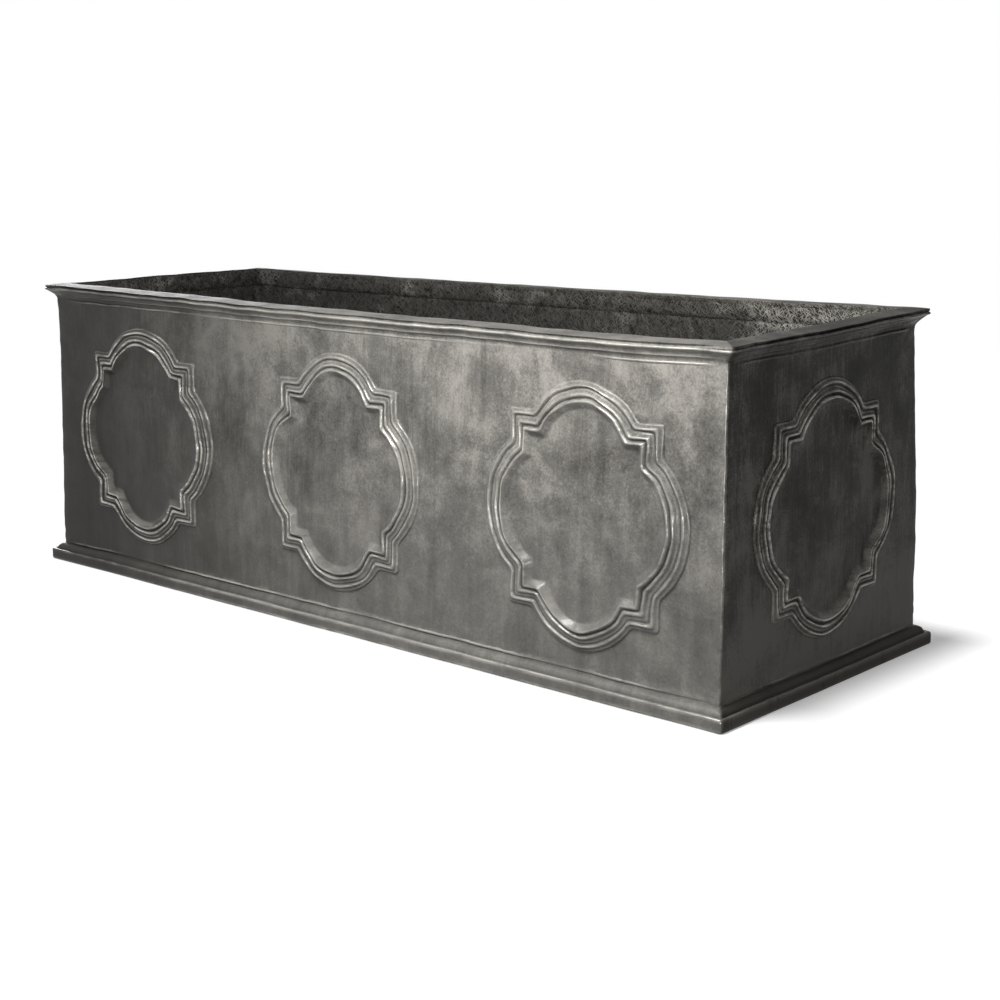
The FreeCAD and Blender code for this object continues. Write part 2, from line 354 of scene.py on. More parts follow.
def frame_cell(side, centre, placing, low_share, high_share):
    """One frame and the wall round it, as rings from the middle of its field outwards, and their wear. The
    rings follow the quatrefoil across the moulding, evenly along its section, and open out into the cell's
    straight edges. Along the moulding its ridges wander and swell. The wall is rubbed near a corner."""
    right, above, wider, taller = placing
    stretch = 1 + np.array([wider, taller]) / (2 * frame_half)
    squeeze = frame_squeeze if side in leaning_sides else 0.0

    def placed(inset):
        """The quatrefoil set in by an inset, stretched to its frame's size, narrowed inwards and moved."""
        return frame_outline(inset) * stretch * (1 - squeeze * inset / frame_band, 1) + (right, above)

    inner = placed(frame_band)
    outer = placed(0)
    edge = cell_edge(side, centre, low_share, high_share)
    fine = np.arange(0, frame_band + fine_step, fine_step)
    section = np.column_stack([frame_height(fine), fine])
    length = np.concatenate([[0], np.cumsum(np.hypot(*np.diff(section, axis=0).T))])
    inset = np.interp(np.linspace(length[-1], 0, band_rings), length, fine)
    shrink = np.linspace(field_start, 1, field_rings, endpoint=False)
    spread = np.linspace(0, 1, wall_rings + 1)[1:] ** wall_ring_growth
    field = shrink[:, None, None] * (inner - (right, above)) + (right, above)
    band = np.stack([placed(value) for value in inset])
    wall = outer + spread[:, None, None] * (edge - outer)
    rings = np.concatenate([field, band, wall])
    on_band = slice(field_rings, field_rings + band_rings)
    z = frame_middle + rings[..., 1]
    flat = turned(side, centre + rings[..., 0], -wall_reach(side, z), z)[on_band].reshape(-1, 3)
    wander, swell = (ripple(flat, frame_wave, seed).reshape(band.shape[:2]) for seed in (10, 11))
    shift = frame_shift * wander * np.sin(math.pi * inset / frame_band)[:, None]
    rings[on_band] += shift[..., None] * (inner - outer) / frame_band
    z = frame_middle + rings[..., 1]
    out = np.zeros(z.shape)
    out[on_band] = frame_height(inset)[:, None] * (1 + frame_swell * swell)
    from_arris = wall_run(side, z) - np.abs(centre + rings[..., 0])
    wear = arris_rub * np.exp(-from_arris / arris_reach)
    inwards = (inner - outer) / np.hypot(*(inner - outer).T)[:, None]
    wear[on_band] = moulding_wear(side, section, inset, inwards)
    points = turned(side, centre + rings[..., 0], -(wall_reach(side, z) + out), z)
    return points, wear


def ripple(points, wavelength, seed, waves=12):
    """Smooth random field of about unit size: sine waves near one wavelength, in random directions."""
    draw = np.random.default_rng(seed)
    heading = draw.normal(size=(waves, 3))
    heading /= np.linalg.norm(heading, axis=1, keepdims=True)
    number = 2 * math.pi / (wavelength * draw.uniform(0.7, 1.4, waves))
    phase = draw.uniform(0, 2 * math.pi, waves)
    return np.sin(points @ (heading * number[:, None]).T + phase).sum(axis=1) / math.sqrt(waves / 2)


def smooth(low, high, value):
    """Smooth step from 0 at low to 1 at high."""
    t = np.clip((value - low) / (high - low), 0, 1)
    return t * t * (3 - 2 * t)


# What the hand does to the form. Spans are shares of half the length or half the depth.
front_sag = 3.3
sag_start = (-0.95, 0.0)
sag_end = (0.72, 1.0)
back_left_drop = 3.8
drop_span = (0.85, -1.0)
back_right_rise = 3.5
back_right_pull = 9.0
right_span = (0.2, 1.0)
back_span = (-0.5, 1.0)
bowed_from = 0.35
off_ground_zone = (1, 30)
plinth_zone = (60, 25)
rim_zone = (40, 20)
long_wave = 170.0
long_wave_size = (0.6, 0.8, 0.2)
short_wave = 42.0
short_wave_size = 0.16
ground_waver = 0.35
moulding_wave = 70.0
moulding_wave_size = 0.15
joint_width = 12.0
joint_wave = 13.0
joint_wave_size = 0.45
joint_on_wall = 0.15
lay_up_wave = 17.0
lay_up_size = 0.35
merge_distance = 0.02
sharp_angle = 42


def hand_shaped(points):
    """Points of the true form moved to the hand-made one: the front rim sags towards the right, the back
    rim drops towards the left and rises and leans in at the right, the faces and lines waver, and the
    mitred joints are lumpy. The ground stays flat."""
    x, y, z = points.T
    along = x / half_length
    back = y / half_depth
    off_ground = smooth(*off_ground_zone, z)
    towards_rim = smooth(bowed_from, 1, z / height)
    towards_front = np.clip((1 - back) / 2, 0, 1)
    sag = front_sag * smooth(*sag_start, along) * (1 - smooth(*sag_end, along))
    drop = back_left_drop * smooth(*drop_span, along)
    back_right = towards_rim * smooth(*back_span, back) * smooth(*right_span, along)
    moved = points.copy()
    moved[:, 2] -= towards_rim * (towards_front * sag + (1 - towards_front) * drop)
    moved[:, 2] += back_right_rise * back_right
    moved[:, 1] -= back_right_pull * back_right
    for axis, size in enumerate(long_wave_size):
        waver = size * ripple(points, long_wave, axis)
        waver += short_wave_size * ripple(points, short_wave, 3 + axis)
        at_ground = 0 if axis == 2 else ground_waver
        moved[:, axis] += waver * (at_ground + (1 - at_ground) * off_ground)
    on_moulding = smooth(*plinth_zone, z) + smooth(*rim_zone, height - z)
    moved[:, 2] += on_moulding * off_ground * moulding_wave_size * ripple(points, moulding_wave, 6)
    from_joint = np.abs((wall_reach_x - np.abs(x)) - (wall_reach_y + lean(z) - np.abs(y)))
    near_joint = np.exp(-(from_joint / joint_width) ** 2) * np.maximum(on_moulding, joint_on_wall)
    lump = near_joint * off_ground * joint_wave_size * ripple(points, joint_wave, 7)
    moved[:, :2] += lump[:, None] * np.sign(points[:, :2])
    return moved


class Skin:
    """Grids of points in millimetres gathered into one closed skin, with the wear of each point, how raw
    its lay-up is, and the number of each face's finish."""

    def __init__(self):
        self.points = []
        self.wear = []
        self.raw = []
        self.faces = []
        self.finish = []
        self.count = 0

    def add_points(self, points, wear=0.0, raw=0.0):
        """Number new points and return their indices, in the shape of their grid."""
        shape = points.shape[:-1]
        self.points.append(points.reshape(-1, 3))
        self.wear.append(np.broadcast_to(wear, shape).reshape(-1))
        self.raw.append(np.broadcast_to(raw, shape).reshape(-1))
        index = self.count + np.arange(math.prod(shape)).reshape(shape)
        self.count += index.size
        return index

    def add_faces(self, faces, finish=0):
        """Add faces of one finish, each as the numbers of its points."""
        self.faces.extend(faces)
        self.finish.extend([finish] * len(faces))

    def grid(self, points, wear=0.0, raw=0.0, finish=0, closed=False):
        """Four-cornered faces between neighbouring points of a grid, each row closed to a ring if asked."""
        index = self.add_points(points, wear, raw)
        if closed:
            index = np.hstack([index, index[:, :1]])
        corners = [index[:-1, :-1], index[:-1, 1:], index[1:, 1:], index[1:, :-1]]
        self.add_faces(np.stack(corners, axis=-1).reshape(-1, 4).tolist(), finish)

    def fan(self, centre, ring):
        """Triangles from one centre point to a closed ring."""
        hub = self.add_points(centre.reshape(1, 3))
        index = self.add_points(ring)
        hubs = np.full(len(index), hub[0])
        self.add_faces(np.column_stack([hubs, index, np.roll(index, -1)]).tolist())

    def cap(self, ring):
        """One many-cornered face that closes an open end."""
        self.add_faces([self.add_points(ring).tolist()])

    def piece(self, name, finishes, slot):
        """The skin as an object: doubles merged, faces turned outwards, points moved to the hand-made form,
        box-mapped UV in metres. It stands for the CAD node of the same name and rides with the root."""
        mesh = bpy.data.meshes.new(name)
        mesh.from_pydata(np.concatenate(self.points), [], self.faces)
        mesh.polygons.foreach_set("material_index", self.finish)
        for label, values in (("wear", self.wear), ("raw", self.raw)):
            mesh.attributes.new(label, "FLOAT", "POINT").data.foreach_set("value", np.concatenate(values))
        shell = bmesh.new()
        shell.from_mesh(mesh)
        bmesh.ops.remove_doubles(shell, verts=shell.verts, dist=merge_distance)
        bmesh.ops.recalc_face_normals(shell, faces=shell.faces)
        shell.to_mesh(mesh)
        shell.free()
        points, normals = np.empty((2, len(mesh.vertices), 3))
        raw = np.empty(len(mesh.vertices))
        mesh.vertices.foreach_get("co", points.ravel())
        mesh.vertices.foreach_get("normal", normals.ravel())
        mesh.attributes["raw"].data.foreach_get("value", raw)
        mesh.attributes.remove(mesh.attributes["raw"])
        lumps = raw * lay_up_size * ripple(points, lay_up_wave, 8)
        points = (hand_shaped(points) + lumps[:, None] * normals) * mm
        mesh.vertices.foreach_set("co", points.ravel())
        mesh.update()
        box_map(mesh, points)
        mesh.shade_smooth()
        mesh.set_sharp_from_angle(angle=math.radians(sharp_angle))
        for finish in finishes:
            mesh.materials.append(finish)
        thing = bpy.data.objects.new(name + "_skin", mesh)
        bpy.context.scene.collection.objects.link(thing)
        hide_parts(name)
        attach(thing, "root")


def box_map(mesh, points):
    """UV in metres for each face corner: the two coordinates that the face is most square to."""
    normals = np.empty(3 * len(mesh.polygons))
    mesh.polygons.foreach_get("normal", normals)
    sizes = np.empty(len(mesh.polygons), int)
    mesh.polygons.foreach_get("loop_total", sizes)
    corners = np.empty(len(mesh.loops), int)
    mesh.loops.foreach_get("vertex_index", corners)
    facing = np.repeat(np.abs(normals.reshape(-1, 3)).argmax(axis=1), sizes)
    place = points[corners]
    first = np.where(facing == 0, place[:, 1], place[:, 0])
    second = np.where(facing == 2, place[:, 1], place[:, 2])
    layer = mesh.uv_layers.new(name="box")
    layer.data.foreach_set("uv", np.column_stack([first, second]).ravel())


def srgb(code):
    """Linear colour, with full alpha, of an sRGB hex value."""
    channels = [int(code[place:place + 2], 16) / 255 for place in (1, 3, 5)]
    linear = [c / 12.92 if c <= 0.04045 else ((c + 0.055) / 1.055) ** 2.4 for c in channels]
    return (*linear, 1.0)


def add_node(tree, kind, inputs, stops=(), **settings):
    """Add a shader node with its settings and a ramp's stops, as (position, sRGB hex). Fill each input with
    a value, or with a link from a socket or from another node's first output in use."""
    node = tree.nodes.new("ShaderNode" + kind)
    for name, value in settings.items():
        setattr(node, name, value)
    for number, (position, code) in enumerate(stops):
        elements = node.color_ramp.elements
        element = elements[number] if number < len(elements) else elements.new(position)
        element.position = position
        element.color = srgb(code)
    for name, value in inputs.items():
        if isinstance(value, bpy.types.Node):
            value = next(socket for socket in value.outputs if socket.enabled)
        if isinstance(value, bpy.types.NodeSocket):
            tree.links.new(value, node.inputs[name])
        else:
            node.inputs[name].default_value = value
    return node


def new_material(name):
    """A new material, what adds a node to it, and the place in metres of each point of the object."""
    material = bpy.data.materials.new(name)
    material.use_nodes = True
    material.node_tree.nodes.clear()
    add = functools.partial(add_node, material.node_tree)
    return material, add, add("TexCoord", {}).outputs["Object"]


# Burnished lead-look gelcoat: a resin face loaded with metal powder, blackened and rubbed back by hand.
# It gives a warm dark grey with a fine dabbed and brushed grain and bright metal on rubbed mouldings. It is
# painted darker towards the left, as painted shade, and on the front and back paler towards the top, as
# painted light. The inner slopes of the frames carry painted highlights where they face up and to one side,
# and the rubbed metal is dimmed towards the right as painted shade. The ends take darker tones, which are
# painted shade, and a duller face, and they are streaked from top to bottom.
patina_noise = {
    # width and height of each pattern's cells, in millimetres, and its detail; the grain is coarse, to show
    "cloud": (85.0, 85.0, 4.0), "smudge": (28.0, 28.0, 4.0), "patch": (150.0, 150.0, 2.0),
    "smear": (26.0, 7.0, 3.0), "drag": (22.0, 180.0, 3.0), "stroke": (3.0, 36.0, 3.0),
    "dab": (3.4, 3.4, 2.0), "grain": (2.0, 2.0, 1.0),
}
patina_share = {"cloud": 0.38, "smudge": 0.20, "drag": 0.13, "worked": 0.15, "grain": 0.14}
burnished_tones = ((0.405, "#413f3b"), (0.50, "#62605c"), (0.595, "#86837d"))
# The ends' darker tones are painted shade.
end_tones_painted_shade = ((0.43, "#1c1a18"), (0.50, "#3a3835"), (0.57, "#66635e"))
# Black wax for the hollows, also used as painted shade towards the left and on the rim's flat top.
black_wax_and_painted_shade = "#262421"
# Bare metal on rubbed mouldings, also used as a painted highlight on the inner slopes of the frames.
bare_metal_and_highlight = "#bab7b0"
dabbed_lean = 0.35
grain_in_relief = 0.4
relief_depth = 0.35


def lead_face(name, tones, dabbing, pale, rubbing, painted_dimming_right, specular):
    """A lead finish in the given tones, with dabbed patches among its brush strokes where dabbing is 1. It
    turns paler from one level of the wall to another: on the front and back that is painted light towards
    the top, and on the ends it is paler towards the bottom. It is darker towards the left, which is painted
    shade.
    Its mouldings are rubbed back to bare metal by a share, and less towards the right by a second share,
    which dims their highlights there as painted shade."""
    material, add, place = new_material(name)
    axes = add("SeparateXYZ", {"Vector": place}).outputs
    wear = add("Attribute", {}, attribute_name="wear").outputs["Fac"]
    noise = {}
    for kind, (wide, tall, detail) in patina_noise.items():
        cells = (1 / (wide * mm), 1 / (wide * mm), 1 / (tall * mm))
        scaled = add("Mapping", {"Vector": place, "Scale": cells})
        noise[kind] = add("TexNoise", {
            "Vector": scaled, "Scale": 1.0, "Detail": detail, "Roughness": 0.6, "Distortion": 0.6})
    leaning = add("Math", {0: axes["X"], 1: dabbed_lean, 2: noise["patch"]}, operation="MULTIPLY_ADD")
    spans = {
        # what each share follows, from where to where, and how big the share is there
        "dabbed": (leaning, 0.42, 0.56, 0.0, dabbing),
        "grainy": (axes["Z"], 0.08, 0.22, 0.45, 1.0),
        # Painted light: paler towards the top on the front and back; on the ends, paler towards the bottom.
        "pale": (axes["Z"], *pale),
        # Painted shade: darker towards the left.
        "painted_shade_left": (axes["X"], -0.05, -0.41, 0.0, 0.85),
        # Black wax in the hollows, and painted shade on the rim's flat top, which is given a hollow's wear.
        "hollow": (wear, -0.12, -0.7, 0.0, 0.92),
        # Bare metal on rubbed ridges, and painted highlights on the inner slopes of the frames.
        "rubbed_and_highlit": (wear, 0.12, 0.75, 0.0, 1.0),
        "broken": (noise["smear"], 0.38, 0.60, 0.3, 1.0),
        # Painted shade on the rubbed metal: there is less of it towards the right.
        "rubbing_with_painted_dimming": (axes["X"], -0.35, 0.44, rubbing, rubbing * (1 - painted_dimming_right)),
        "rough": (wear, -0.45, 0.3, 0.56, 0.21),
    }
    share = {kind: add("MapRange", dict(enumerate(span))) for kind, span in spans.items()}
    noise["worked"] = add("Mix", {"Factor": share["dabbed"], "A": noise["stroke"], "B": noise["dab"]})
    for kind in ("cloud", "smudge", "worked", "grain"):
        noise[kind] = add("Mix", {"Factor": share["grainy"], "A": 0.5, "B": noise[kind]})
    patina = share["pale"]
    for kind, part in patina_share.items():
        patina = add("Math", {0: noise[kind], 1: part, 2: patina}, operation="MULTIPLY_ADD")
    bared_and_highlit = share["rubbing_with_painted_dimming"]
    for kind in ("rubbed_and_highlit", "broken"):
        bared_and_highlit = add("Math", {0: bared_and_highlit, 1: share[kind]}, operation="MULTIPLY")
    colour = add("ValToRGB", {"Fac": patina}, stops=tones)
    # Painted shade towards the left and black wax in the hollows, then bare metal with painted highlights.
    for part, code in ((share["painted_shade_left"], black_wax_and_painted_shade), (share["hollow"], black_wax_and_painted_shade), (bared_and_highlit, bare_metal_and_highlight)):
        colour = add("Mix", {"Factor": part, "A": colour, "B": srgb(code)}, data_type="RGBA")
    relief = add("Mix", {"Factor": grain_in_relief, "A": noise["worked"], "B": noise["grain"]})
    bump = add("Bump", {"Height": relief, "Strength": 0.7, "Distance": relief_depth * mm})
    shader = add("BsdfPrincipled", {
        "Base Color": colour, "Metallic": bared_and_highlit, "Roughness": share["rough"], "Normal": bump,
        "Specular IOR Level": specular})
    add("OutputMaterial", {"Surface": shader})
    return material


# Raw glass-fibre laminate: chopped-strand mat wetted out with dark resin and left as laid up.
# It gives a lumpy, dark, half-glossy face with short pale strands in patches. It is paler to the right,
# with more strands bare there, and darker below the band under the lip, which is painted shade, and browner
# at the trimmed lip. The strands are drawn a little wider than real ones, to show.
strand_length = 15.0
strand_width = 1.2
strand_angles = (24, 38, 55, 80, 128, 152)
strand_offset = (0.37, 0.21)
lump_size = 16.0
lump_depth = 2.0
strand_in_relief = 0.4
resin_tones = ((0.34, "#181715"), (0.52, "#292724"), (0.70, "#403d39"))
# Painted shade below the band under the lip: from this far under the lip, to full at this far.
band_shade_from = 19.0
band_shade_to = 26.0
browned_from = 4.0


def strand_mat(add):
    """Thin straight threads, one set for each of the strand angles: 1 on a thread and 0 between."""
    lay = add("UVMap", {}, uv_map="box")
    stretch = (1 / (strand_length * mm), 1 / (strand_width * mm), 1)
    strands = 0.0
    for number, degrees in enumerate(strand_angles):
        across = add("Mapping", {
            "Vector": lay, "Location": (strand_offset[0] * number, strand_offset[1] * number, 0),
            "Rotation": (0, 0, math.radians(degrees))})
        thread = add("Mapping", {"Vector": across, "Scale": stretch})
        noise = add("TexNoise", {"Vector": thread, "Scale": 1.0, "Detail": 1.0}, noise_dimensions="2D")
        thin = add("MapRange", {"Value": noise, "From Min": 0.62, "From Max": 0.68})
        strands = add("Math", {0: thin, 1: strands}, operation="MAXIMUM")
    return strands


def laminate():
    """The laminate's finish: resin in dark lumps, strands bare in dry patches, and painted shade below the
    band.
    """
    material, add, place = new_material("chopped_strand_laminate_with_painted_shade")
    axes = add("SeparateXYZ", {"Vector": place}).outputs
    strands = strand_mat(add)
    lump = add("TexNoise", {
        "Vector": place, "Scale": 1 / (lump_size * mm), "Detail": 4.0, "Roughness": 0.6})
    cloud = add("TexNoise", {
        "Vector": place, "Scale": 1 / (3 * lump_size * mm), "Detail": 3.0, "Distortion": 0.8})
    spans = {
        # what each share follows, from where to where, and how big the share is there
        "rightward": (axes["X"], 0.26, 0.45, -0.09, 0.35),
        # Painted shade below the band.
        "painted_shade_below_band": (axes["Z"], (lip_bottom - band_shade_from) * mm, (lip_bottom - band_shade_to) * mm, 0.0, 0.38),
        "near_lip": (axes["Z"], (lip_bottom - browned_from) * mm, height * mm, 0.0, 1.0),
        "rough": (lump, 0.0, 1.0, 0.32, 0.62),
    }
    share = {kind: add("MapRange", dict(enumerate(span))) for kind, span in spans.items()}
    dryness = add("Math", {0: cloud, 1: share["rightward"]}, operation="ADD")
    bare = add("MapRange", {"Value": dryness, "From Min": 0.46, "From Max": 0.72, "To Min": 0.27})
    showing = add("Math", {0: strands, 1: bare}, operation="MULTIPLY")
    browned = add("Math", {0: share["near_lip"], 1: lump}, operation="MULTIPLY")
    colour = add("ValToRGB", {"Fac": lump}, stops=resin_tones)
    # Bare strands, painted shade below the band, and browned resin at the lip.
    for part, code in ((showing, "#aeaba3"), (share["painted_shade_below_band"], "#151412"), (browned, "#3d3226")):
        colour = add("Mix", {"Factor": part, "A": colour, "B": srgb(code)}, data_type="RGBA")
    relief = add("Math", {0: strands, 1: strand_in_relief, 2: lump}, operation="MULTIPLY_ADD")
    bump = add("Bump", {"Height": relief, "Strength": 0.8, "Distance": lump_depth * mm})
    shader = add("BsdfPrincipled", {
        "Base Color": colour, "Roughness": share["rough"], "Normal": bump, "Specular IOR Level": 0.3})
    add("OutputMaterial", {"Surface": shader})
    return material


burnished_finish_with_painted_light = lead_face("burnished_lead_gelcoat_with_painted_light", burnished_tones, dabbing=1.0,
                             pale=(0.24, 0.33, 0.0, 0.04), rubbing=0.88, painted_dimming_right=0.52, specular=0.16)
# The ends take darker tones, which are painted shade.
end_finish_painted_shade = lead_face("lead_gelcoat_painted_shade", end_tones_painted_shade, dabbing=0.0,
                             pale=(0.20, 0.03, 0.0, 0.078), rubbing=0.5, painted_dimming_right=0.0, specular=0.06)
inside_finish_with_painted_shade = laminate()
corner_angles = np.linspace(0, math.pi / 4, arris_steps + 1)[1:]
arris_bare = 0.45
bead_wave = 120.0
bead_mean = 0.6
bead_swell = 0.35
bead_limits = (0.1, 1.1)
groove_end = 40.0
plain_end = 26.0
cove_curve = 1.5
# Painted shade: the share of wear left at the far left of the front and back, and where that cut begins.
left_rub_painted_shade = 0.4
left_painted_shade_from = -0.8
end_rub = 0.35
lay_up_fade = 20.0
foot_fade = 12.0
slack = 0.1


def arris_wear(corner_angle):
    """Wear of a rounded corner: none where it leaves the flat, most at the mitre."""
    return arris_bare * np.sin(2 * np.abs(corner_angle)) ** 2


def hand_worked(side, section, share, points):
    """How far a section's points stand out along its length, and how much of their wear is left. The beads
    fade and swell, the groove under the flat closes up near the corners, where the beads and the fine line
    die into a plain cove, and the ends are rubbed less. Towards the left of the front and back the wear is
    cut back too, which dulls the lines there as painted shade."""
    out, z = section[:, :1], section[:, 1:]
    from_corner = (1 - np.abs(share)) * wall_run(side, height)
    near_corner = smooth(plain_end, plain_end / 4, from_corner)
    in_bead = ((z > plinth_height) & (z < plinth_top)) | ((z > rim_foot) & (z < rim_foot + bead_height))
    swell = bead_mean + bead_swell * ripple(points.reshape(-1, 3), bead_wave, 9)
    swell = np.clip(swell, *bead_limits).reshape(points.shape[:2])
    raised = np.where(in_bead & (out > 0), swell * (1 - near_corner), 1.0)
    cove_low = height - rim_height
    nose_low = height - rim_nose_low
    in_cove = (z > cove_low) & (z < nose_low) & (out > 0)
    plain_cove = rim_nose_root * np.clip((z - cove_low) / (nose_low - cove_low), 0, 1) ** cove_curve
    in_groove = (z > height - rim_nose_high - slack) & (z < height - rim_flat_fall - slack) & (out > 0)
    filled = in_groove * smooth(groove_end, groove_end / 4, from_corner)
    rub_and_shade = end_rub
    # Painted shade: the wear is cut back towards the left of the front and back.
    if side in leaning_sides:
        rub_and_shade = left_rub_painted_shade + (1 - left_rub_painted_shade) * smooth(left_painted_shade_from * half_length, 0, points[..., 0])
    shaped = out * raised + filled * (rim_flat_out - out) + in_cove * near_corner * (plain_cove - out)
    return shaped, raised * (1 - filled) * rub_and_shade


def panel(side):
    """One panel: its plinth and rim sections carried along the side from mitre to mitre, its wall as one
    cell for each frame with rounded corners beside them, and a flat face on each mitre."""
    skin = Skin()
    centres, bounds = frame_shares(side)
    step = np.linspace(0, 1, side_points, endpoint=False)
    cells = [low + (high - low) * step for low, high in zip(bounds, bounds[1:])]
    wall_share = np.concatenate(cells + [[1.0]])
    share = np.concatenate([-np.ones(arris_steps), wall_share, np.ones(arris_steps)])
    angle = np.concatenate([-corner_angles[::-1], np.zeros(len(wall_share)), corner_angles])
    ends = [[], []]
    for section in (plinth_section(), rim_section()):
        out, z = section[:, :1], section[:, 1:]
        inner = out < 0
        rounding = np.where(inner, inside_corner_radius, arris_radius)
        shaped, left = hand_worked(side, section, share, on_side(side, share, angle, out, z, rounding))
        points = on_side(side, share, angle, shaped, z, rounding)
        wear = np.maximum(wear_of(section)[:, None] * left, np.where(inner, -1, arris_wear(angle)))
        on_slope = (z > plinth_ledge_height) & (z < plinth_height) & (out > 0) & (out < plinth_ledge_out)
        on_flat = (z > height - rim_flat_fall - slack) & (out < rim_flat_out + slack)
        on_end_plinth = (z < plinth_height) & (out > 0) & (side not in leaning_sides)
        # The plinth's slope and the ends' plinths are set darker, and the rim's flat top takes a painted
        # shade.
        wear += plinth_slope_black * on_slope + end_plinth_black * on_end_plinth
        wear = np.where(on_flat, rim_flat_painted_shade, wear)
        lip = int(np.argmax(section[:, 0] < lip_edge + slack)) or len(section) - 1
        skin.grid(points[:lip + 1], wear[:lip + 1])
        if lip < len(section) - 1:
            laid_up = smooth(lip_bottom, lip_bottom - lay_up_fade, z[lip:]) * smooth(0, foot_fade, z[lip:])
            skin.grid(points[lip:], raw=laid_up, finish=1)
        for end, column in zip(ends, (0, -1)):
            end.append(points[:, column])
    rows = line(plinth_top, rim_foot, side_points)[:, None]
    for sign, end in zip((-1, 1), ends):
        turn_in = sign * np.concatenate([[0], corner_angles])
        points = on_side(side, sign, turn_in, 0.0, rows, arris_radius)
        skin.grid(points, arris_wear(turn_in))
        end.insert(1, points[1:-1, -1])
        skin.cap(np.concatenate(end)[:-1])
    placings = frame_placing.get(side, [(0.0, 0.0, 0.0, 0.0)] * len(centres))
    for centre, placing, low, high in zip(centres, placings, bounds, bounds[1:]):
        points, wear = frame_cell(side, centre, placing, low, high)
        skin.grid(points, wear, closed=True)
        z = np.array(frame_middle)
        hub = turned(side, np.array(centre), -wall_reach(side, z), z)
        skin.fan(hub, points[0])
    return skin


for side in turn_of_side:
    at_end = side not in leaning_sides
    panel_name = side + ("_end_panel" if at_end else "_panel")
    # The ends take the finish with painted shade.
    face_finish = end_finish_painted_shade if at_end else burnished_finish_with_painted_light
    panel(side).piece(panel_name, [face_finish, inside_finish_with_painted_shade], "lead_face")

# The rim stiffeners
# Under the lip, inside each panel, a strip is glassed over with mat and shows as a soft raised band.
# Each is bonded to the wall behind it and mitred to the next.
stiffener_low, stiffener_high = (corner.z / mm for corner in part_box("rim_stiffener_front"))
stiffener_thickness = 6.0
stiffener_slope = 16.0
stiffener_pull = 0.3
stiffener_lumps = 1.2
strip_spacing = 6.0
raw_rise = 2.0


def stiffener_section():
    """Closed section of a stiffener, as (out, z): flat to the wall and the lip, sloped off at its foot."""
    face = inside - stiffener_thickness
    sloped = stiffener_low + stiffener_slope
    return chain(
        line((inside, stiffener_high), (inside, stiffener_low), 4),
        bend((inside, stiffener_low), (face, stiffener_low), (face, sloped), stiffener_pull, 6),
        line((face, sloped), (face, stiffener_high), 5),
        line((face, stiffener_high), (inside, stiffener_high), 2),
    )[:-1]


def bar(rings, raw=0.0):
    """The skin of a bar: faces from ring to ring, and one on each end."""
    skin = Skin()
    skin.grid(rings, raw=raw, closed=True)
    skin.cap(rings[0])
    skin.cap(rings[-1])
    return skin


def carried(side, section, raw):
    """A closed section carried along a side from mitre to mitre."""
    share = np.linspace(-1, 1, int(2 * wall_run(side, height) / strip_spacing))[:, None]
    return bar(on_side(side, share, 0.0, section[:, 0], section[:, 1], 0.0), raw)


for side in turn_of_side:
    section = stiffener_section()
    lumps = stiffener_lumps * smooth(inside, inside - raw_rise, section[:, 0])
    carried(side, section, lumps).piece("rim_stiffener_" + side, [inside_finish_with_painted_shade], "laminate")

# The corner bonds
# Up each inside corner runs an angle of glass mat, wetted with resin, that joins the two panels.
# Its edges feather out on the walls and its inner corner is filled to a round.
bond_low, bond_high = (corner.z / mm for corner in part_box("corner_bond_front_left"))
bond_thickness = 3.0
bond_leg = 45.0
bond_fillet = 10.0
bond_feather = 8.0
feather_pull = 0.2


def bond_section():
    """Closed section of a bonded angle, as its distances from the two faces that it joins."""
    full = bond_leg - bond_feather
    fillet = bond_thickness + bond_fillet
    return chain(
        line((bond_leg, 0), (0, 0), 9),
        line((0, 0), (0, bond_leg), 9),
        bend((0, bond_leg), (bond_thickness, bond_leg), (bond_thickness, full), feather_pull, 3),
        line((bond_thickness, full), (bond_thickness, fillet), 6),
        bend((bond_thickness, fillet), (bond_thickness, bond_thickness), (fillet, bond_thickness),
             round_pull, 6),
        line((fillet, bond_thickness), (full, bond_thickness), 6),
        bend((full, bond_thickness), (bond_leg, bond_thickness), (bond_leg, 0), feather_pull, 3),
    )[:-1]


def corner_bond(x_sign, y_sign):
    """A bond's section carried up its corner, following the lean of the front and back walls."""
    section = bond_section()
    z = line(bond_low, bond_high, 42)[:, None]
    x = x_sign * (wall_reach_x - wall_thickness - section[:, 0])
    y = y_sign * (wall_reach_y + lean(z) - wall_thickness - section[:, 1])
    return bar(np.stack(np.broadcast_arrays(x, y, z), axis=-1), smooth(0, raw_rise, section.min(axis=1)))


for y_name, y_sign in (("front", -1), ("back", 1)):
    for x_name, x_sign in (("left", -1), ("right", 1)):
        bond_name = f"corner_bond_{y_name}_{x_name}"
        corner_bond(x_sign, y_sign).piece(bond_name, [inside_finish_with_painted_shade], "laminate")

# The floor bearers
# Three lengths of sawn softwood lie across the trough under the floor and carry the soil's weight.
# They are cut to fit between the front and back panels and bonded in.
timber_rounding = 2.0
timber_ring = 6.0
timber_grain = 1.2
timber_tones = ((0.2, "#b58f62"), (0.5, "#a37b4d"), (0.8, "#7f5a35"))


